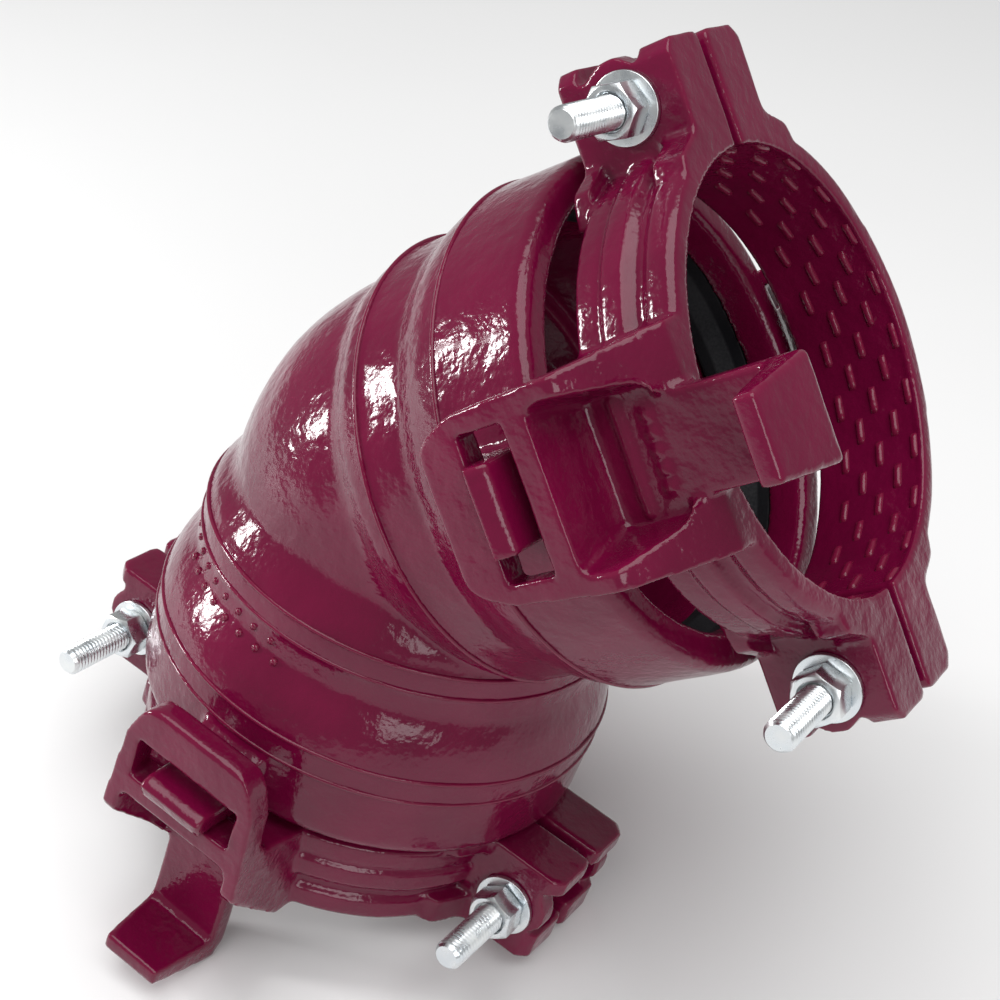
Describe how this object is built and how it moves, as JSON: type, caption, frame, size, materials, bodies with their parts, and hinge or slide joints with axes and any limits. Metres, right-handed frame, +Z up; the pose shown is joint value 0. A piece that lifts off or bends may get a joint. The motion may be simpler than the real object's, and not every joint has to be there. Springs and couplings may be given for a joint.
{
  "type": "push-on pipe elbow with joint restraint clamps",
  "caption": "Angled cast pipe elbow with a gasketed bell at each end, each bell held to its pipe by a bolted split clamp hooked on lugs.",
  "frame": {"origin": "centre of the footprint at floor level, with the elbow standing on its lower clamp", "axes": "+Z up from the floor; -Y is the side with the tongue and nut ends; the upper bell opens towards +X and up"},
  "size_m": [0.3736, 0.3244, 0.3982],
  "materials": {
    "enamel_paint": "glossy enamel over cast iron",
    "zinc_plate": "bright zinc plate",
    "gasket_rubber": "matt black"
  },
  "bodies": {
    "elbow": {"elbow_body": "enamel_paint", "upper_gasket": "gasket_rubber", "lower_gasket": "gasket_rubber"},
    "upper_rear": {"upper_clamp_rear": "enamel_paint", "upper_bolt_top": "zinc_plate", "upper_bolt_bottom": "zinc_plate", "upper_head_washer_top": "zinc_plate", "upper_head_washer_bottom": "zinc_plate"},
    "upper_front": {"upper_clamp_front": "enamel_paint", "upper_nut_washer_top": "zinc_plate", "upper_nut_washer_bottom": "zinc_plate"},
    "upper_nut_top": {"upper_nut_top": "zinc_plate"},
    "upper_nut_bottom": {"upper_nut_bottom": "zinc_plate"},
    "lower_rear": {"lower_clamp_rear": "enamel_paint", "lower_bolt_inner": "zinc_plate", "lower_bolt_outer": "zinc_plate", "lower_head_washer_inner": "zinc_plate", "lower_head_washer_outer": "zinc_plate"},
    "lower_front": {"lower_clamp_front": "enamel_paint", "lower_nut_washer_inner": "zinc_plate", "lower_nut_washer_outer": "zinc_plate"},
    "lower_nut_inner": {"lower_nut_inner": "zinc_plate"},
    "lower_nut_outer": {"lower_nut_outer": "zinc_plate"}
  },
  "joints": [
    {"name": "upper_clamp_float", "type": "slide", "parent": "elbow", "child": "upper_rear", "axis": [0.8125, 0.1346, 0.5672], "range_m": [-0.007, 0]},
    {"name": "upper_clamp_release", "type": "slide", "parent": "upper_rear", "child": "upper_front", "axis": [0.0172, -0.9781, 0.2075], "range_m": [0, 0.03]},
    {"name": "upper_nut_top_turn", "type": "hinge", "parent": "upper_front", "child": "upper_nut_top", "pos_m": [0.03009, 0.0111, 0.37395], "axis": [0.0172, -0.9781, 0.2075], "range_deg": [0, 5530]},
    {"name": "upper_nut_bottom_turn", "type": "hinge", "parent": "upper_front", "child": "upper_nut_bottom", "pos_m": [0.15828, -0.02386, 0.19861], "axis": [0.0172, -0.9781, 0.2075], "range_deg": [0, 5530]},
    {"name": "lower_clamp_float", "type": "slide", "parent": "elbow", "child": "lower_rear", "axis": [-0.1625, -0.2075, -0.9646], "range_m": [0, 0.007]},
    {"name": "lower_clamp_release", "type": "slide", "parent": "lower_rear", "child": "lower_front", "axis": [0.0172, -0.9781, 0.2075], "range_m": [0, 0.03]},
    {"name": "lower_nut_inner_turn", "type": "hinge", "parent": "lower_front", "child": "lower_nut_inner", "pos_m": [-0.16433, -0.05607, 0.07348], "axis": [0.0172, -0.9781, 0.2075], "range_deg": [0, 5530]},
    {"name": "lower_nut_outer_turn", "type": "hinge", "parent": "lower_front", "child": "lower_nut_outer", "pos_m": [0.05271, -0.05985, 0.03772], "axis": [0.0172, -0.9781, 0.2075], "range_deg": [0, 5530]}
  ],
  "couplings": [
    {"joint": "upper_nut_top_turn", "follows": "upper_clamp_release", "rad_per_m": 3215.8},
    {"joint": "upper_nut_bottom_turn", "follows": "upper_clamp_release", "rad_per_m": 3215.8},
    {"joint": "lower_nut_inner_turn", "follows": "lower_clamp_release", "rad_per_m": 3215.8},
    {"joint": "lower_nut_outer_turn", "follows": "lower_clamp_release", "rad_per_m": 3215.8}
  ]
}
